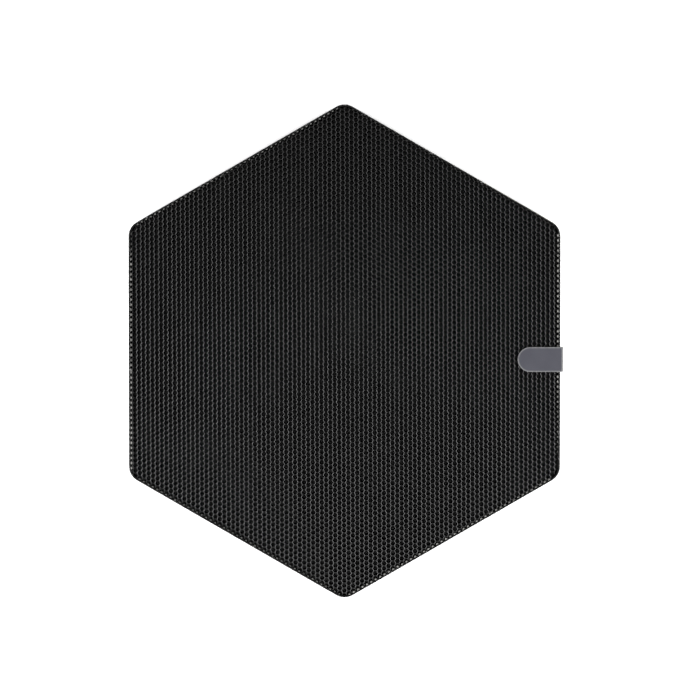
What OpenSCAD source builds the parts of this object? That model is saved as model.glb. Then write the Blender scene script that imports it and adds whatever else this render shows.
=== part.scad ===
// Honeycomb grid for a hexagonal studio light.
// A bent aluminium band holds a bonded foil core, and a folded strap on one side pulls the grid out.
// It lies on its back: the origin is the centre of the back face, +Z points out of the front face,
// +Y goes to a point of the hexagon and +X to the flat side that carries the strap.

/* [Frame band] */
// Width over two opposite flat sides
across_flats = 406; // [300:1:600]
// Depth of the band, back edge to front edge
band_depth = 15; // [12:0.5:30]
// Thickness of the band's strip
band_thickness = 1.5; // [1:0.1:3]
// Outside radius of the six bent corners
corner_radius = 15.5; // [8:0.5:30]
// Gap left between the two ends of the bent strip
butt_gap = 0.5; // [0.2:0.1:2]

/* [Core] */
// Width of a cell over its flats
cell_width = 19.05; // [19.05:0.05:40]
// Thickness of the foil
foil_thickness = 0.5; // [0.2:0.05:1]
// Depth of the core
core_depth = 14; // [8:0.5:14]
// Thickness of the glue line between two ribbons
glue_line = 0.05; // [0.02:0.01:0.1]
// Thickness of the adhesive between the core and the band
bond_thickness = 0.8; // [0.5:0.1:2]
// Height of the adhesive between the core and the band
bond_height = 13; // [6:0.5:13]

/* [Splice] */
// Thickness of the plate that joins the ends of the strip
splice_thickness = 1; // [0.8:0.1:2]
// Length of the plate along the band
splice_length = 22; // [16:1:40]
// Height of the plate
splice_height = 13; // [10:0.5:13]
// Radius of a rivet's shank
rivet_radius = 1.2; // [0.8:0.1:2]
// Distance between rivets along the band
rivet_spacing_along = 12; // [10:1:16]
// Distance between rivets across the band
rivet_spacing_across = 6; // [5:0.5:8]

/* [Pull tab] */
// Width of the strap
tab_width = 23.4; // [16:0.2:40]
// Length of the leaf that lies over the front face, from its round end to the outside of the fold
tab_length = 43; // [30:1:80]
// Thickness of the strap
tab_thickness = 1.6; // [1:0.1:3]
// Height of the leaf that is stuck to the band
anchor_height = 14; // [8:0.5:14]
// Distance from the middle of the side to the middle of the tab
tab_offset = -7.5; // [-60:0.5:60]
// Thickness of the film under the anchor leaf
tab_film = 0.3; // [0.1:0.1:1]
// Clearance under the leaf and around the hinge line
tab_clearance = 0.3; // [0.1:0.05:1]

/* [Hidden] */
$fn = 64;
eps = 0.5;
side_count = 6;
bend_step = 5;

// Band and core outlines, as the distance from the centre to a flat side
band_outer = across_flats / 2;
band_inner = band_outer - band_thickness;
core_outer = band_inner - bond_thickness;
core_corner = corner_radius - band_thickness - bond_thickness;
core_z = (band_depth - core_depth) / 2;
bond_z = (band_depth - bond_height) / 2;
corner_centre = (band_outer - corner_radius) / cos(30);
side_length = 2 * (band_outer - corner_radius) * tan(30);

// Ribbons run along X, one every half cell, each a zig-zag of flats joined by slopes
ribbon_pitch = cell_width / 2;
cell_side = cell_width / sqrt(3);
flat_pitch = 1.5 * cell_side;
half_rise = (ribbon_pitch - foil_thickness - glue_line) / 2;
slope_angle = atan(2 * half_rise / (flat_pitch - cell_side));
mitre = foil_thickness / 2 * tan(slope_angle / 2);
core_apex = corner_centre + core_corner;
ribbon_count = 2 * floor((core_apex - ribbon_pitch) / ribbon_pitch);

// Stack of splice plate, film and strap outside the band, and the hinge line in the strap's fold
splice_x = band_outer;
film_x = splice_x + splice_thickness;
anchor_x = film_x + tab_film;
hinge_x = anchor_x + tab_thickness / 2;
hinge_z = band_depth + tab_clearance + tab_thickness / 2;
hinge_gap = tab_thickness / 2 + tab_clearance / 3;
tab_end_x = anchor_x + tab_thickness - tab_length;

function two_digits(n) = str(n < 10 ? "0" : "", n);

BONDS = [for (i = [1 : side_count]) str("bond_strip_", i)];
RIBBONS = [for (i = [1 : ribbon_count]) str("core_ribbon_", two_digits(i))];

function backwards(list) = [for (i = [len(list) - 1 : -1 : 0]) list[i]];

// Anticlockwise path round the six bends, all at one distance from the line that they are bent about
function hexagon_path(radius) = [for (corner = [30 : 60 : 330], turn = [-30 : bend_step : 30])
    corner_centre * [cos(corner), sin(corner)] + radius * [cos(corner + turn), sin(corner + turn)]];

// Box given by its first corner's X, its size along X, and its extents about the tab's middle line
module block(x, thickness, length, z, height) {
    translate([x, tab_offset - length / 2, z]) cube([thickness, length, height]);
}

module rivet_places() {
    for (along = [-1, 1], across = [-1, 1])
        translate([0, tab_offset + along * rivet_spacing_along / 2,
            band_depth / 2 + across * rivet_spacing_across / 2])
            rotate([0, 90, 0]) children();
}

// One strip, bent six times, with its two ends facing each other behind the splice plate
module frame_band() {
    end_high = tab_offset + butt_gap / 2;
    end_low = tab_offset - butt_gap / 2;
    color("#1c1c1e") difference() {
        linear_extrude(band_depth) polygon(concat(
            [[band_outer, end_high]],
            hexagon_path(corner_radius),
            [[band_outer, end_low], [band_inner, end_low]],
            backwards(hexagon_path(corner_radius - band_thickness)),
            [[band_inner, end_high]]));
        rivet_places() translate([0, 0, band_inner - eps])
            cylinder(r = rivet_radius, h = band_thickness + 2 * eps);
    }
}

module splice_plate() {
    color("#2a2a2c") difference() {
        block(splice_x, splice_thickness, splice_length, (band_depth - splice_height) / 2,
            splice_height);
        rivet_places() translate([0, 0, splice_x - eps])
            cylinder(r = rivet_radius, h = splice_thickness + 2 * eps);
    }
}

// The rivets are set flush on both sides
module splice_rivets() {
    color("#8f9092") rivet_places() translate([0, 0, band_inner])
        cylinder(r = rivet_radius, h = band_thickness + splice_thickness);
}

module bond_strip(side) {
    color("#c9c7c1") rotate(60 * (side - 1)) translate([core_outer, -side_length / 2, bond_z])
        cube([bond_thickness, side_length, bond_height]);
}

// Corner k of a ribbon, counted outwards from the middle flat: [x, y, direction of its mitre]
function bend(ribbon, k) =
    let (flat = floor((k + 1) / 2), end = k % 2 == 0 ? 1 : -1, crest = (ribbon + flat) % 2 == 0 ? 1 : -1)
    [flat * flat_pitch + end * cell_side / 2, ribbon_y(ribbon) + crest * half_rise, end * crest];

function ribbon_y(ribbon) = (ribbon - (ribbon_count + 1) / 2) * ribbon_pitch;

// Distance from the centre to the side of the hexagon that passes through a point
function hexagon_reach(p) = max(abs(p.x), (abs(p.x) + sqrt(3) * abs(p.y)) / 2);

// First corner that lies outside the core, so that a ribbon is one unbroken piece
function last_bend(ribbon, k = 0) =
    hexagon_reach(bend(ribbon, k)) > core_outer ? k : last_bend(ribbon, k + 1);

// One face of a ribbon from end to end: face 1 is the upper one and -1 the lower one
function ribbon_face(ribbon, last, face) = [for (k = [-last - 1 : last])
    let (hand = k < 0 ? -1 : 1, b = bend(ribbon, k < 0 ? -k - 1 : k))
    [hand * (b.x + face * mitre * b.z), b.y + face * foil_thickness / 2]];

module core_ribbon(ribbon) {
    last = last_bend(ribbon);
    color("#333336") translate([0, 0, core_z]) intersection() {
        linear_extrude(core_depth)
            polygon(concat(ribbon_face(ribbon, last, 1), backwards(ribbon_face(ribbon, last, -1))));
        linear_extrude(core_depth) polygon(hexagon_path(core_corner));
    }
}

module tab_adhesive() {
    color("#b8b8b4") block(film_x, tab_film, splice_length, (band_depth - splice_height) / 2,
        splice_height);
}

// The leaf stuck to the band, with the round of the fold along the hinge line
module tab_anchor() {
    color("#5d5d64") union() {
        block(anchor_x, tab_thickness, tab_width, band_depth - anchor_height,
            hinge_z - band_depth + anchor_height);
        translate([hinge_x, tab_offset - tab_width / 2, hinge_z]) rotate([-90, 0, 0])
            cylinder(r = tab_thickness / 2, h = tab_width);
    }
}

// The leaf that lies over the front face and folds out about the hinge line
module tab_leaf() {
    round_x = tab_end_x + tab_width / 2;
    color("#62626a") union() {
        block(round_x, hinge_x - hinge_gap - round_x, tab_width, hinge_z - tab_thickness / 2,
            tab_thickness);
        translate([round_x, tab_offset, hinge_z - tab_thickness / 2])
            cylinder(r = tab_width / 2, h = tab_thickness);
    }
}

frame_band();
splice_plate();
splice_rivets();
for (i = [1 : side_count]) bond_strip(i);
for (i = [1 : ribbon_count]) core_ribbon(i);
tab_adhesive();
tab_anchor();
tab_leaf();
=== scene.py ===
import math

import bpy
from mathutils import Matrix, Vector, noise


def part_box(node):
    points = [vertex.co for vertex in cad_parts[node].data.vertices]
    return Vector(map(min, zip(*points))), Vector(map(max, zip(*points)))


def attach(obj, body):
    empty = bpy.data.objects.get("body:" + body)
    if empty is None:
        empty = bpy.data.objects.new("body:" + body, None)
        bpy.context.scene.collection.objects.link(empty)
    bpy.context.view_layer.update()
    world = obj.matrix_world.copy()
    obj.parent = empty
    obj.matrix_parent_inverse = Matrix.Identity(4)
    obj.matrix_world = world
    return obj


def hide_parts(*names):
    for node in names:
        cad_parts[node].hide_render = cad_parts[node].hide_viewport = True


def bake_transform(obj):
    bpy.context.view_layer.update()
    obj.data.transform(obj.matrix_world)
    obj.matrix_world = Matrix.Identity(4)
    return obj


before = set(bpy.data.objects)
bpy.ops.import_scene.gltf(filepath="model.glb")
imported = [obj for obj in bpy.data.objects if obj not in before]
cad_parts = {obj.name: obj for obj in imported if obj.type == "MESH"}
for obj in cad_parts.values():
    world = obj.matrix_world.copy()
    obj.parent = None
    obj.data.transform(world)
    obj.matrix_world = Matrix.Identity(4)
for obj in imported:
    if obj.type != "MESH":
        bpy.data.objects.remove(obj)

noise.seed_set(1)                     # left unseeded, noise_vector changes with the clock

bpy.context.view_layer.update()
MM = 0.001
COS30 = math.cos(math.radians(30))
TAN30 = math.tan(math.radians(30))

# ---------------------------------------------------------------- sizes from the frame
BAND_LO, BAND_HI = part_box("frame_band")
BOND_LO, BOND_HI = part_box("bond_strip_1")
ANCHOR_LO, ANCHOR_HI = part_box("tab_anchor")
LEAF_LO, LEAF_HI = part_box("tab_leaf")
RIVETS_LO, RIVETS_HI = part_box("splice_rivets")
RIBBON_NODES = sorted(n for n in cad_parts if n.startswith("core_ribbon_"))
RIBBON_BOXES = [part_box(n) for n in RIBBON_NODES]

SIDE = BAND_HI.x                      # centre to a flat side of the band
APEX = BAND_HI.y                      # centre to a rounded point
CORNER_R = (SIDE / COS30 - APEX) / (1 / COS30 - 1)
BEND_STEPS = 20                       # faces round each bend
INNER = BOND_HI.x                     # the band's inner face
CORE_SIDE = BOND_LO.x                 # the core's cut edge
BAND_T = SIDE - INNER
FRONT = BAND_HI.z
CORE_LO, CORE_HI = RIBBON_BOXES[0][0].z, RIBBON_BOXES[0][1].z
NODE_Y = [(lo.y + hi.y) / 2 for lo, hi in RIBBON_BOXES]
BUTT_GAP = 0.5 * MM                   # between the two ends of the bent strip
RIVET_R = 1.2 * MM

# ---------------------------------------------------------------- the real core
RIBBONS_PER_NODE = 4                  # each CAD ribbon stands for four real ones
END_RIBBONS = 8                       # more of them towards the two points of the hexagon
PITCH = abs(NODE_Y[1] - NODE_Y[0]) / RIBBONS_PER_NODE
CELL = 2 * PITCH                      # 3/16 in over the flats
WALL = CELL / math.sqrt(3)
STRETCH = 1.0137                      # the core is pulled a little wide
SQUEEZE = 0.996                       # and a little short
FLAT_PITCH = 1.5 * WALL * STRETCH
FLAT_SHARE = 0.71                     # of FLAT_PITCH: a glued flat is a little longer than a free wall
FOIL = 0.15 * MM                      # with its black coat
GLUE = 0.02 * MM
SKEW_X, SKEW_Y = -0.0036, -0.0096     # how far the core leans as it is set in the band
SHIFT_X = -1.03 * MM                  # and how far off centre it sits
SHIFT_Y = 2.0 * MM
RISE = (PITCH - FOIL - GLUE) / 2      # half the height of a ribbon's zig-zag
SLOPE = math.atan2(2 * RISE, (1 - FLAT_SHARE) * FLAT_PITCH)   # of a free wall
STEEP = 0.35                          # rise over run that tells a free wall from a glued flat
MITRE = FOIL / 2 * math.tan(SLOPE / 2)
LIP = 0.25 * MM                       # depth of the bare lip along a cut edge
BURR = 0.02 * MM                      # how far the lip stands up
LIP_WIDTH = 1.1                       # how much wider the lip is than the foil
LIP_SPREAD = 0.15                     # and how much that changes from wall to wall
LIP_PATCH = 300.0                     # patches of wider lips to the metre
BURIED = 1.5 * MM                     # walls this near the band end in adhesive and have no lip
LIT_WIDEN = 0.55                          # how much wider the bright lips are on walls that face the lower side: painted light
LIT_WIDEN_LEAST = 0.3                     # share of that painted light at the top of the grid
LIT_WIDEN_MOST = 1.2                      # and at the bottom
LIT_WIDEN_MIDDLE = 0.75                   # and halfway up
WAVES = 9.0                           # broad waves of the core to the metre
WAVE_SIZE = 0.1 * MM
RIPPLES = 7.0                         # how many times finer the small waves are
RIPPLE_SIZE = 0.06 * MM
KNOCK = Vector((-146 * MM, 31 * MM))  # a short row of cells that took a knock
KNOCK_SPAN = Vector((24 * MM, 4 * MM))
KNOCK_FOLDS = 40.0                    # how many times finer its dents are than the waves
KNOCK_SIZE = 0.7 * MM


def held(value, low=0.0, high=1.0):
    """The value held between two limits."""
    return min(max(value, low), high)


def corner_outline(side, radius):
    """Points round the six bends of a hexagon with a point towards +Y, from just above +X."""
    centre = (side - radius) / COS30
    points = []
    for corner in range(30, 390, 60):
        for k in range(BEND_STEPS + 1):
            a = math.radians(corner)
            b = math.radians(corner - 30 + 60 * k / BEND_STEPS)
            points.append((centre * math.cos(a) + radius * math.cos(b),
                           centre * math.sin(a) + radius * math.sin(b)))
    return points


def outside_core(x, y):
    """Above 0 outside the core's outline, about in metres."""
    ax, ay = abs(x), abs(y)
    reach = max(ax, ax / 2 + ay * COS30) - CORE_SIDE
    radius = CORNER_R - (SIDE - CORE_SIDE)
    centre = (SIDE - CORNER_R) / COS30
    for corner in (30, 90):
        ux, uy = math.cos(math.radians(corner)), math.sin(math.radians(corner))
        dx, dy = ax - centre * ux, ay - centre * uy
        if dx * ux + dy * uy > abs(dx * uy - dy * ux) / TAN30:
            reach = max(reach, math.hypot(dx, dy) - radius)
    return reach


def placed(x, y):
    """Where a point of the ideal lattice lies in the real, slightly uneven core."""
    p = Vector((x * WAVES, y * WAVES, 0.0))
    wave = noise.noise_vector(p) * WAVE_SIZE + noise.noise_vector(p * RIPPLES) * RIPPLE_SIZE
    knock = math.exp(-((x - KNOCK.x) / KNOCK_SPAN.x) ** 2 - ((y - KNOCK.y) / KNOCK_SPAN.y) ** 2)
    wave += noise.noise_vector(p * KNOCK_FOLDS) * KNOCK_SIZE * knock
    return (x + SKEW_X * y + SHIFT_X + wave.x,
            y * SQUEEZE + SKEW_Y * x + SHIFT_Y + wave.y)


def ribbon_line(row):
    """The middle line of one zig-zag ribbon: (x, y, direction of its mitre)."""
    count = int(CORE_SIDE / FLAT_PITCH) + 2
    line = []
    for flat in range(-count, count + 1):
        crest = 1 if (flat + math.floor(row)) % 2 == 0 else -1
        for end in (-1, 1):
            x, y = placed((flat + end * FLAT_SHARE / 2) * FLAT_PITCH, row * PITCH + crest * RISE)
            line.append((x, y, end * crest))
    return line


def cut_to_core(line):
    """Splits a ribbon's line at the core's outline into the runs that lie inside it."""
    runs, run = [], []
    for a, b in zip(line, line[1:]):
        out_a, out_b = outside_core(a[0], a[1]), outside_core(b[0], b[1])
        if out_a > 0 and out_b > 0:
            continue
        if out_a > 0 or out_b > 0:
            t = out_a / (out_a - out_b)
            cut = (a[0] + t * (b[0] - a[0]), a[1] + t * (b[1] - a[1]), a[2] if out_b > 0 else b[2])
        if out_a > 0:
            run = [cut, b]
        elif out_b > 0:
            runs.append((run or [a]) + [cut])
            run = []
        else:
            run = (run or [a]) + [b]
    if len(run) > 1:
        runs.append(run)
    return runs


def is_slope(a, b):
    """True for a free, slanted wall, false for a flat that is glued to the next ribbon."""
    return abs(a[1] - b[1]) > STEEP * abs(a[0] - b[0])


# ---------------------------------------------------------------- meshes
def mesh_object(name, verts, faces, slots=None, smooth_below=None):
    """A new object. Edges that turn less than smooth_below degrees are shaded smooth."""
    mesh = bpy.data.meshes.new(name)
    mesh.from_pydata(verts, [], faces)
    if slots:
        mesh.polygons.foreach_set("material_index", slots)
    if smooth_below:
        mesh.polygons.foreach_set("use_smooth", [True] * len(mesh.polygons))
        mesh.set_sharp_from_angle(angle=math.radians(smooth_below))
    mesh.validate()
    mesh.update()
    ob = bpy.data.objects.new(name, mesh)
    bpy.context.scene.collection.objects.link(ob)
    return ob


def finish_piece(ob, body, materials, nodes=()):
    """Gives a piece its materials, hides the CAD nodes it stands in for and, if a body is given,
    attaches it to that body.
    """
    for m in materials:
        ob.data.materials.append(m)
    if body:
        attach(ob, body)
    if nodes:
        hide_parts(*nodes)


def skin(rings, closed):
    """Faces between rings of vertex numbers. Closed rings join their last vertex to their first."""
    faces = []
    for r0, r1 in zip(rings, rings[1:]):
        for k in range(len(r0) - (0 if closed else 1)):
            j = (k + 1) % len(r0)
            faces.append((r0[k], r0[j], r1[j], r1[k]))
    return faces


def rounded_profile(a0, a1, b0, b1, radius, steps=4):
    """A closed anticlockwise rectangle in two coordinates, with rounded corners."""
    corners = ((a1 - radius, b0 + radius, -90), (a1 - radius, b1 - radius, 0),
               (a0 + radius, b1 - radius, 90), (a0 + radius, b0 + radius, 180))
    points = []
    for ca, cb, start in corners:
        for k in range(steps + 1):
            t = math.radians(start + 90 * k / steps)
            points.append((ca + radius * math.cos(t), cb + radius * math.sin(t)))
    return points


def foil_ribbons(name, rows):
    """Closed zig-zag ribbons. Material slot 1 is on the edges of the glued flats, 0 on all the rest."""
    verts, faces, slots = [], [], []
    for row in rows:
        for run in cut_to_core(ribbon_line(row)):
            base = len(verts)
            for x, y, mitre in run:
                for z in (CORE_HI, CORE_LO):
                    verts.append((x + mitre * MITRE, y + FOIL / 2, z))
                    verts.append((x - mitre * MITRE, y - FOIL / 2, z))
            for i in range(len(run) - 1):
                a, b = base + 4 * i, base + 4 * (i + 1)
                # slot 1 darkens the glued flats' edges as painted shade
                edge = 0 if is_slope(run[i], run[i + 1]) else 1
                faces += [(a + 1, b + 1, b, a), (a + 2, b + 2, b + 3, a + 3),
                          (a, b, b + 2, a + 2), (b + 1, a + 1, a + 3, b + 3)]
                slots += [edge, edge, 0, 0]
            a, b = base, base + 4 * (len(run) - 1)
            faces += [(a, a + 2, a + 3, a + 1), (b + 1, b + 3, b + 2, b)]
            slots += [0, 0]
    return mesh_object(name, verts, faces, slots)


def facing_painted_light(a, b):
    """Above 0 on free walls that lean one way left of the middle and the other way right of it, below 0
    on the others: painted light from the lower side, stronger lower down.
    """
    leans_right = (b[1] - a[1]) * (b[0] - a[0]) > 0
    share = held(LIT_WIDEN_MIDDLE - a[1] / SIDE, LIT_WIDEN_LEAST, LIT_WIDEN_MOST)
    return (-1 if leans_right else 1) * a[0] / SIDE * share


def cut_lips(name, rows):
    """The lips that the saw left bare along the free walls, front and back, as small closed bars."""
    verts, faces = [], []
    levels = ((CORE_HI - LIP, CORE_HI + BURR), (CORE_LO - BURR, CORE_LO + LIP))
    for row in rows:
        for run in cut_to_core(ribbon_line(row)):
            for a, b in zip(run, run[1:]):
                mid = Vector((a[0] + b[0], a[1] + b[1], 0)) / 2
                # the glued flats get no bare lip, which keeps them dark as painted shade
                if not is_slope(a, b) or outside_core(mid.x, mid.y) > -BURIED:
                    continue
                width = LIP_WIDTH + LIP_SPREAD * noise.noise(mid * LIP_PATCH)
                # lips widened where painted light from the lower side would fall
                width += LIT_WIDEN * facing_painted_light(a, b)
                for low, high in levels:
                    base = len(verts)
                    for z in (low, high):
                        for x, y, mitre in (a, b):
                            dx, dy = mitre * MITRE * width, FOIL / 2 * width
                            verts += [(x + dx, y + dy, z), (x - dx, y - dy, z)]
                    faces += [tuple(base + k for k in quad) for quad in
                              ((0, 2, 3, 1), (4, 5, 7, 6), (0, 4, 6, 2), (1, 3, 7, 5),
                               (0, 1, 5, 4), (2, 6, 7, 3))]
    return mesh_object(name, verts, faces)


# ---------------------------------------------------------------- materials
def node(tree, kind, inputs=None, **settings):
    """A new node with its settings and inputs. An input is a number, a colour or a socket to link."""
    n = tree.nodes.new("ShaderNode" + kind)
    for key, value in settings.items():
        setattr(n, key, value)
    for key, value in (inputs or {}).items():
        if isinstance(value, bpy.types.NodeSocket):
            tree.links.new(value, n.inputs[key])
        else:
            n.inputs[key].default_value = value
    return n


def object_point(tree):
    """The surface point in metres."""
    return node(tree, "TexCoord").outputs["Object"]


def coordinate(tree, axis):
    """One coordinate of the surface point: 0 is x, 1 is y and 2 is z."""
    return node(tree, "SeparateXYZ", {0: object_point(tree)}).outputs[axis]


def ranged(tree, value, low, high, from_low=0.0, from_high=1.0):
    """A value brought from one range to another."""
    return node(tree, "MapRange", {"Value": value, "From Min": from_low, "From Max": from_high,
                                   "To Min": low, "To Max": high}).outputs[0]


def grain(tree, scale, detail=2.0, low=0.35, high=0.65):
    """Noise from 0 to 1 with features of about 1/scale metres."""
    pattern = node(tree, "TexNoise", {"Vector": object_point(tree), "Scale": scale, "Detail": detail})
    return ranged(tree, pattern.outputs[0], 0.0, 1.0, low, high)


def product(tree, a, b):
    """One value times another."""
    return node(tree, "Math", {0: a, 1: b}, operation="MULTIPLY").outputs[0]


def blended(tree, factor, color_a, color_b):
    """Colour a where the factor is 0, and b where it is 1."""
    mix = node(tree, "Mix", data_type="RGBA")
    tree.links.new(factor, mix.inputs[0])
    for place, color in ((6, color_a), (7, color_b)):
        if isinstance(color, bpy.types.NodeSocket):
            tree.links.new(color, mix.inputs[place])
        else:
            mix.inputs[place].default_value = (*color, 1)
    return mix.outputs[2]


def grey(level, warm=0.0):
    """A grey, warm when above 0 and cool when below."""
    return (level * (1 + warm), level, level * (1 - warm))


def material(name, color, rough, specular=0.5, metallic=0.0, bump=None):
    """A material from functions that build its colour and roughness in the tree it is given.

    bump is (pattern, height in metres).
    """
    m = bpy.data.materials.new(name)
    m.use_nodes = True
    tree = m.node_tree
    shader = tree.nodes["Principled BSDF"]
    shader.inputs["Specular IOR Level"].default_value = specular
    shader.inputs["Metallic"].default_value = metallic
    tree.links.new(color(tree), shader.inputs["Base Color"])
    tree.links.new(rough(tree), shader.inputs["Roughness"])
    if bump:
        pattern, height = bump
        relief = node(tree, "Bump", {"Height": pattern(tree), "Distance": height, "Strength": 1.0})
        tree.links.new(relief.outputs[0], shader.inputs["Normal"])
    return m


def down_to(tree, top, bottom):
    """0 above top, rising to 1 below bottom: the painted light is strongest on the lower half of the
    grid.
    """
    return ranged(tree, coordinate(tree, 1), 0.0, 1.0, top, bottom)


def foil_coat_color(tree):
    """The black coat inside the cells, lightened towards the lower side as painted light."""
    painted_dim_tone = blended(tree, grain(tree, 260), grey(0.026), grey(0.05))
    painted_lit_tone = blended(tree, grain(tree, 260), grey(0.07), grey(0.11))
    return blended(tree, down_to(tree, 10 * MM, -200 * MM), painted_dim_tone, painted_lit_tone)


def edge_coat_color(tree):
    """The same coat on the edges of the glued flats, kept darker as painted shade where the side light
    does not reach them, and lighter towards the lower side as painted light.
    """
    painted_dim_tone = blended(tree, grain(tree, 500), grey(0.001), grey(0.004))
    painted_lit_tone = blended(tree, grain(tree, 500), grey(0.019), grey(0.031))
    return blended(tree, down_to(tree, -20 * MM, -200 * MM), painted_dim_tone, painted_lit_tone)


def lip_color(tree):
    """Bare foil, darker towards the upper side and brighter towards the lower side as painted light."""
    lip_painted_dim = blended(tree, grain(tree, 900), grey(0.064), grey(0.096))
    lip_painted_lit = blended(tree, grain(tree, 900), grey(0.162), grey(0.22))
    return blended(tree, down_to(tree, 230 * MM, 0.0), lip_painted_dim, lip_painted_lit)


def near_edge(tree, reach):
    """1 at the band's front and back edges, falling to 0 within reach."""
    middle = (BAND_LO.z + BAND_HI.z) / 2
    off = node(tree, "Math", {0: coordinate(tree, 2), 1: middle}, operation="SUBTRACT").outputs[0]
    away = node(tree, "Math", {0: off}, operation="ABSOLUTE").outputs[0]
    half = (BAND_HI.z - BAND_LO.z) / 2
    return ranged(tree, away, 0.0, 1.0, half - reach, half)


def band_color(tree):
    """Black paint, chipped to grey in a few places along its edges."""
    paint = blended(tree, grain(tree, 700), grey(0.003), grey(0.0065))
    chips = product(tree, grain(tree, 330, 4, low=0.64, high=0.68), near_edge(tree, 0.4 * MM))
    return blended(tree, chips, paint, grey(0.1))


def adhesive_color(tree):
    """Pale, slightly yellow adhesive."""
    return blended(tree, grain(tree, 400, 3), (0.175, 0.173, 0.163), (0.25, 0.248, 0.237))


def rivet_color(tree):
    """Plain metal."""
    return blended(tree, grain(tree, 900, 3), grey(0.42), grey(0.58))


def film_color(tree):
    """The pale adhesive film under the tab."""
    return blended(tree, grain(tree, 300, 3), grey(0.42, 0.02), grey(0.52, 0.02))


def tab_color(tree):
    """Grey elastomer with faint clouds and a fine speckle, and a painted highlight on its rim and fold.
    """
    clouds = blended(tree, grain(tree, 55), (0.0375, 0.0377, 0.0465), (0.0415, 0.0415, 0.051))
    plain = blended(tree, grain(tree, 2600, 1, low=0.6, high=0.75), clouds, (0.047, 0.048, 0.058))
    # painted highlight on the rim and fold, where the edges would catch the light
    painted_highlight_attr = node(tree, "Attribute", attribute_name="painted_highlight").outputs["Fac"]
    painted_highlight_share = product(tree, painted_highlight_attr, ranged(tree, grain(tree, 700, 3), 0.55, 1.0))
    return blended(tree, painted_highlight_share, plain, (0.16, 0.162, 0.16))


def rough_by(scale, low, high):
    """A roughness that varies over the surface between two values."""
    return lambda tree: ranged(tree, grain(tree, scale), low, high)


def relief_by(scale, detail=2.0):
    """A relief with features of about 1/scale metres."""
    return lambda tree: grain(tree, scale, detail, 0.2, 0.8)


foil_coat = material("foil_coat", foil_coat_color, rough_by(300, 0.4, 0.6), 0.3,
                     bump=(relief_by(350), 0.08 * MM))
edge_coat = material("edge_coat", edge_coat_color, rough_by(500, 0.6, 0.8), 0.03)
bare_lip = material("bare_lip", lip_color, rough_by(700, 0.4, 0.6), 0.2)
band_paint = material("band_paint", band_color, rough_by(160, 0.45, 0.6), 0.1,
                      bump=(relief_by(1300), 0.02 * MM))
adhesive = material("adhesive", adhesive_color, rough_by(300, 0.35, 0.6), 0.4,
                    bump=(relief_by(600, 3), 0.1 * MM))
rivet_metal = material("rivet_metal", rivet_color, rough_by(800, 0.25, 0.45), 0.5, 1.0,
                       bump=(relief_by(1500), 0.02 * MM))
film = material("film", film_color, rough_by(200, 0.2, 0.4), 0.5,
                bump=(relief_by(500), 0.02 * MM))
tab_rubber = material("tab_rubber", tab_color, rough_by(90, 0.5, 0.62), 0.2,
                      bump=(relief_by(2400, 3), 0.02 * MM))

# ---------------------------------------------------------------- core
for n, name in enumerate(RIBBON_NODES):
    first = NODE_Y[n] / PITCH - (RIBBONS_PER_NODE - 1) / 2
    rows = [first + k for k in range(RIBBONS_PER_NODE)]
    if n == 0:
        rows = [first - k for k in range(END_RIBBONS, 0, -1)] + rows
    if n == len(RIBBON_NODES) - 1:
        rows += [rows[-1] + k for k in range(1, END_RIBBONS + 1)]
    number = name.removeprefix("core_ribbon_")
    finish_piece(foil_ribbons("core_foil_" + number, rows), "grid",
                 (foil_coat, edge_coat), (name,))
    finish_piece(cut_lips("core_lips_" + number, rows), "grid", (bare_lip,))


# ---------------------------------------------------------------- band
STRAP_Y = (ANCHOR_LO.y + ANCHOR_HI.y) / 2
BAND_EDGE_R = 0.15 * MM
HOLE_STEPS = 32


def band_strip():
    """The bent strip with rounded edges, its ends facing each other under the tab."""
    profile = rounded_profile(0, BAND_T, BAND_LO.z, BAND_HI.z, BAND_EDGE_R)
    verts = []
    for depth, z in profile:
        path = [(SIDE - depth, STRAP_Y + BUTT_GAP / 2)]
        path += corner_outline(SIDE - depth, CORNER_R - depth)
        path.append((SIDE - depth, STRAP_Y - BUTT_GAP / 2))
        verts += [(x, y, z) for x, y in path]
    count = len(verts) // len(profile)
    rings = [[p * count + k for k in range(count)] for p in range(len(profile))]
    faces = skin(rings + rings[:1], closed=False)
    faces.append(tuple(r[0] for r in rings))
    faces.append(tuple(r[-1] for r in reversed(rings)))
    return mesh_object("band_strip", verts, faces, smooth_below=10)


def drill_for_rivets(ob):
    """Cuts the four rivet holes through the strip."""
    verts, faces = [], []
    for y in (RIVETS_LO.y + RIVET_R, RIVETS_HI.y - RIVET_R):
        for z in (RIVETS_LO.z + RIVET_R, RIVETS_HI.z - RIVET_R):
            base = len(verts)
            for x in (INNER - MM, SIDE + MM):
                for k in range(HOLE_STEPS):
                    t = math.tau * k / HOLE_STEPS
                    verts.append((x, y + RIVET_R * math.cos(t), z + RIVET_R * math.sin(t)))
            low = [base + k for k in range(HOLE_STEPS)]
            high = [base + HOLE_STEPS + k for k in range(HOLE_STEPS)]
            faces += skin([high, low], closed=True)
            faces += [tuple(reversed(low)), tuple(high)]
    drill = mesh_object("drill", verts, faces)
    cut = ob.modifiers.new("holes", "BOOLEAN")
    cut.operation = "DIFFERENCE"
    cut.solver = "EXACT"
    cut.object = drill
    shape = ob.evaluated_get(bpy.context.evaluated_depsgraph_get())
    mesh = bpy.data.meshes.new_from_object(shape)
    ob.modifiers.clear()
    ob.data = mesh
    bpy.data.objects.remove(drill)


band = band_strip()
drill_for_rivets(band)
finish_piece(band, "grid", (band_paint,), ("frame_band",))


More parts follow.
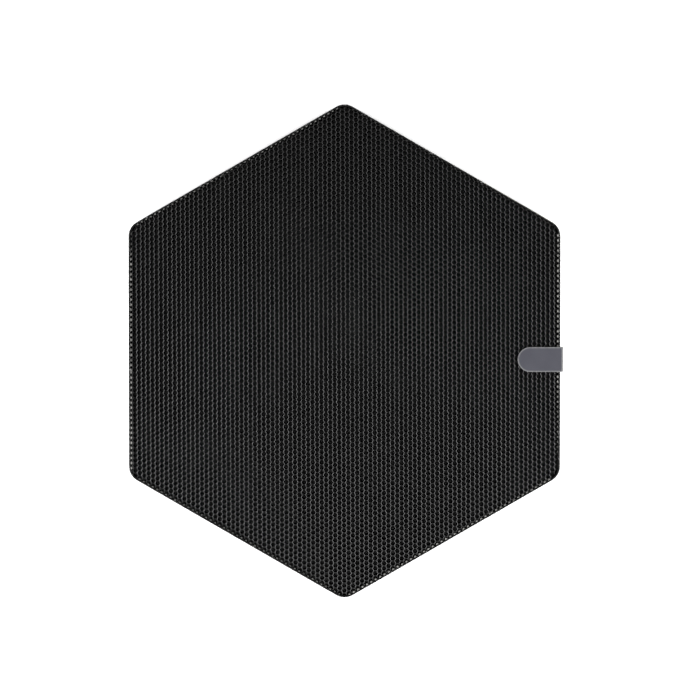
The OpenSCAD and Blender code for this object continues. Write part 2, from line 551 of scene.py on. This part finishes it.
# ---------------------------------------------------------------- adhesive
BEAD_STEPS = 10                       # points round a bead
BEAD_REACH = [reach * MM for reach in (1.3, 1.6, 1.6, 1.5, 1.6, 1.3)]   # from the band, by side
BEAD_WIDTH = [width * CELL for width in (0.3, 0.26, 0.26, 0.3, 0.26, 0.27)]
BEAD_THIN = 0.6                       # share of that reach and width in an empty cell
BEAD_SPREAD = 0.15                    # how much the filling changes from cell to cell
BEAD_PATCH = 250.0                    # patches of fuller cells to the metre
BEAD_FOOT = 1.0 * MM                  # above the core's back
BEAD_PROUD = 0.2 * MM                 # how far a full bead stands out of its cell
BEAD_FALL = 5 * MM                    # how much deeper the crown lies in an empty cell
BEAD_ROUND = 3 * MM                   # how far the beads go on round a bend
CELL_NEAR = -0.05 * FLAT_PITCH        # least depth of a cut cell's centre inside the band
CELL_FAR = 0.95 * FLAT_PITCH          # and the greatest


def edge_cells():
    """Centres of the cells that the band cuts through or passes close by."""
    count_x = int(CORE_SIDE / FLAT_PITCH) + 2
    count_y = int(APEX / PITCH) + 2
    cells = []
    for column in range(-count_x, count_x + 1):
        for row in range(-count_y, count_y + 1):
            if (row + column) % 2:
                continue
            x, y = placed(column * FLAT_PITCH, row * PITCH)
            if abs(outside_core(x, y)) < 2 * CELL:
                cells.append((x, y))
    return cells


def bead_rings(fill):
    """Outline scale and height of a bead from its foot to its crown."""
    foot = CORE_LO + BEAD_FOOT
    crown = CORE_HI + BEAD_PROUD - (1 - fill) * BEAD_FALL
    return ((0.0, foot), (1.0, foot + 0.2 * MM), (1.0, crown - 0.8 * MM), (0.8, crown - 0.3 * MM),
            (0.0, crown))


def fades(y, start, end, low):
    """1 until y passes start, falling to low at end."""
    return 1 - (1 - low) * held((y - start) / (end - start))


def bead_amount(side, y):
    """How full the cut cells are, 0 to 1, at height y along one of the six sides."""
    right = fades(y, -20 * MM, -60 * MM, 0.7) * fades(y, -90 * MM, -105 * MM, 0.5)
    left = fades(y, 85 * MM, 115 * MM, 0.5)
    return (right, 0.1, 0.55, left, 0.5, 0.9)[side]


def adhesive_beads(name, side, cells):
    """Crowned beads of adhesive in the cut cells along one side of the band."""
    nx, ny = math.cos(math.radians(60 * side)), math.sin(math.radians(60 * side))
    half = (SIDE - CORNER_R) * TAN30 + BEAD_ROUND
    verts, faces = [], []
    for cx, cy in cells:
        depth = INNER - (cx * nx + cy * ny)
        along = cy * nx - cx * ny
        if not CELL_NEAR < depth < CELL_FAR or abs(along) > half:
            continue
        patch = abs(noise.noise(Vector((cx, cy, 0)) * BEAD_PATCH))
        amount = bead_amount(side, cy) * (1 - BEAD_SPREAD * patch)
        girth = BEAD_THIN + (1 - BEAD_THIN) * amount
        reach = BEAD_REACH[side] * girth
        width = BEAD_WIDTH[side] * girth
        rings = []
        for share, z in bead_rings(amount):
            ring = []
            for k in range(BEAD_STEPS):
                t = math.radians(-90 + 180 * k / (BEAD_STEPS - 1))
                d = INNER - share * reach * math.cos(t)
                u = along + share * width * math.sin(t)
                ring.append(len(verts))
                verts.append((d * nx - u * ny, d * ny + u * nx, z))
            rings.append(ring)
        faces += skin(rings, closed=True)
    return mesh_object(name, verts, faces, smooth_below=40)


cells = edge_cells()
for side in range(6):
    beads = adhesive_beads("bond_beads_%d" % (side + 1), side, cells)
    finish_piece(beads, "grid", (adhesive,), ("bond_strip_%d" % (side + 1),))

# ---------------------------------------------------------------- pull tab
STRAP_W = ANCHOR_HI.y - ANCHOR_LO.y
STRAP_T = LEAF_HI.z - LEAF_LO.z
LEG_X = (ANCHOR_LO.x + ANCHOR_HI.x) / 2
LEAF_Z = (LEAF_LO.z + LEAF_HI.z) / 2
FOLD_R = 1.2 * MM                     # of the strap's middle line
LEG = LEAF_Z - FOLD_R - ANCHOR_LO.z
FOLD = FOLD_R * math.pi / 2
STRAP_LENGTH = LEG + FOLD + LEG_X - FOLD_R - LEAF_LO.x
RIM_R = 0.5 * MM
RIM_FADE = 1.0 * MM                   # how far the painted highlight reaches in from the rim
RIM_HIGHLIGHT = 0.7                        # of the painted highlight along the fold
HIGHLIGHT_FROM = LEG - 0.2 * MM             # the painted highlight starts here
HIGHLIGHT_TO = LEG + 0.95 * FOLD            # to here over its fold
FOLD_FADE = 0.3 * MM                  # length over which that painted highlight fades
RIM_STEPS = 6
END_STEPS = 36
FOLD_REACH = 2.4 * MM                 # where the close stations begin, before the fold
FOLD_STEP = 0.4 * MM
FOLD_STATIONS = 17
LEAF_STEPS = 8                        # stations from there to the rounded end


def strap_point(along, y, lift):
    """A point of the folded strap, from its place on the flat strap and its lift to the outer face."""
    turn = held((along - LEG) / FOLD_R, 0, math.pi / 2)
    before = min(along - LEG, 0)
    after = max(along - LEG - FOLD, 0)
    x = LEG_X - FOLD_R + (FOLD_R + lift) * math.cos(turn) - after
    z = LEAF_Z - FOLD_R + (FOLD_R + lift) * math.sin(turn) + before
    return x, STRAP_Y + y, z


def strap_outline(inset):
    """The flat strap's outline: up one side, round the free end and back down the other."""
    radius = STRAP_W / 2
    straight = STRAP_LENGTH - radius
    near_fold = [LEG - FOLD_REACH + FOLD_STEP * k for k in range(FOLD_STATIONS)]
    leaf = straight - near_fold[-1]
    stations = [inset, 2 * MM, 5 * MM, 8 * MM] + near_fold
    stations += [near_fold[-1] + leaf * k / LEAF_STEPS for k in range(1, LEAF_STEPS + 1)]
    side = [(s, radius - inset) for s in stations]
    end = []
    for k in range(1, END_STEPS):
        t = math.radians(90 - 180 * k / END_STEPS)
        end.append((straight + (radius - inset) * math.cos(t), (radius - inset) * math.sin(t)))
    return side + end + [(s, -y) for s, y in reversed(side)]


def strap_highlight(along, inset, lift):
    """0 to 1: how strongly a painted highlight lightens the surface, along the rim and over the outside
    of the fold.
    """
    rim = RIM_HIGHLIGHT * held(1 - (inset - RIM_R) / RIM_FADE)
    fold = held((along - HIGHLIGHT_FROM) / FOLD_FADE) * held((HIGHLIGHT_TO - along) / FOLD_FADE)
    return max(rim, fold if lift > 0 else 0)


def pull_strap():
    """The moulded strap with a rounded rim, and how strongly each point of it carries the painted
    highlight.
    """
    half = STRAP_T / 2
    levels = [(RIM_R + RIM_FADE, -half)]
    for k in range(RIM_STEPS + 1):
        t = math.radians(90 * k / RIM_STEPS)
        levels.append((RIM_R * (1 - math.sin(t)), -half + RIM_R * (1 - math.cos(t))))
    levels += [(inset, -lift) for inset, lift in reversed(levels)]
    verts, rings, painted_highlight = [], [], []
    for inset, lift in levels:
        outline = strap_outline(inset)
        rings.append([len(verts) + k for k in range(len(outline))])
        verts += [strap_point(along, y, lift) for along, y in outline]
        painted_highlight += [strap_highlight(along, inset, lift) for along, y in outline]
    faces = skin(rings, closed=True)
    count = len(rings[0])
    for ring, front in ((rings[0], False), (rings[-1], True)):
        for i in range(count // 2):
            quad = [ring[i], ring[i + 1], ring[count - 2 - i], ring[count - 1 - i]]
            if quad[1] == quad[2]:
                quad.pop(1)
            faces.append(tuple(quad if front else reversed(quad)))
    ob = mesh_object("pull_strap", verts, faces, smooth_below=25)
    ob.data.attributes.new("painted_highlight", "FLOAT", "POINT").data.foreach_set("value", painted_highlight)
    return ob


strap = pull_strap()
finish_piece(strap, None, (tab_rubber,), ("tab_anchor", "tab_leaf"))
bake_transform(strap)

# ---------------------------------------------------------------- CAD nodes that stay
for name, m in (("splice_plate", band_paint), ("splice_rivets", rivet_metal),
                ("tab_adhesive", film)):
    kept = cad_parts[name].data.materials
    kept.clear()
    kept.append(m)


# ---------------------------------------------------------------- stage, light, camera
FLOOR_REACH = 8.0
SOFT_BOX = (0.7, 1.0)                 # width and height of each light
LIGHT_X, LIGHT_Y, LIGHT_Z = 1.3, 0.75, 0.9
NEAR_WATTS = 50                       # the two lights at the lower side of the picture
FAR_WATTS = 20                        # and the two at the upper side
SKY = 0.13                            # from all round; what falls down the cells lights their floor
DISTANCE = 1.75
VIEW_WIDTH = 0.6588                   # what the picture's width takes in at the grid's front
TILT = math.radians(1.0)
AIM = Vector((5.2 * MM, 1.4 * MM, FRONT))


def plain_floor():
    """A pale matt floor."""
    r = FLOOR_REACH
    ob = mesh_object("floor", [(-r, -r, 0), (r, -r, 0), (r, r, 0), (-r, r, 0)], [(0, 1, 2, 3)])
    m = bpy.data.materials.new("floor_pale")
    m.use_nodes = True
    shader = m.node_tree.nodes["Principled BSDF"]
    shader.inputs["Base Color"].default_value = (0.95, 0.95, 0.95, 1)
    shader.inputs["Roughness"].default_value = 0.9
    ob.data.materials.append(m)


def soft_light(name, location, watts):
    """A rectangular soft box that looks at the middle of the grid."""
    light = bpy.data.lights.new(name, "AREA")
    light.shape = "RECTANGLE"
    light.size, light.size_y = SOFT_BOX
    light.energy = watts
    ob = bpy.data.objects.new(name, light)
    ob.location = location
    ob.rotation_euler = (-Vector(location)).to_track_quat("-Z", "Y").to_euler()
    ob.visible_camera = False
    bpy.context.scene.collection.objects.link(ob)


plain_floor()
for name, x, y, watts in (("near_left", -LIGHT_X, -LIGHT_Y, NEAR_WATTS),
                          ("near_right", LIGHT_X, -LIGHT_Y, NEAR_WATTS),
                          ("far_left", -LIGHT_X, LIGHT_Y, FAR_WATTS),
                          ("far_right", LIGHT_X, LIGHT_Y, FAR_WATTS)):
    soft_light(name, (x, y, LIGHT_Z), watts)

world = bpy.data.worlds.new("studio")
world.use_nodes = True
sky = world.node_tree.nodes["Background"]
sky.inputs["Color"].default_value = (1, 1, 1, 1)
sky.inputs["Strength"].default_value = SKY
bpy.context.scene.world = world

lens = bpy.data.cameras.new("camera")
lens.sensor_width = 36
lens.lens = lens.sensor_width * DISTANCE / VIEW_WIDTH
camera = bpy.data.objects.new("camera", lens)
camera.location = AIM + Vector((0, math.sin(TILT), math.cos(TILT))) * DISTANCE
camera.rotation_euler = (-TILT, 0, 0)
bpy.context.scene.collection.objects.link(camera)
bpy.context.scene.camera = camera
bpy.context.scene.view_settings.view_transform = "Standard"
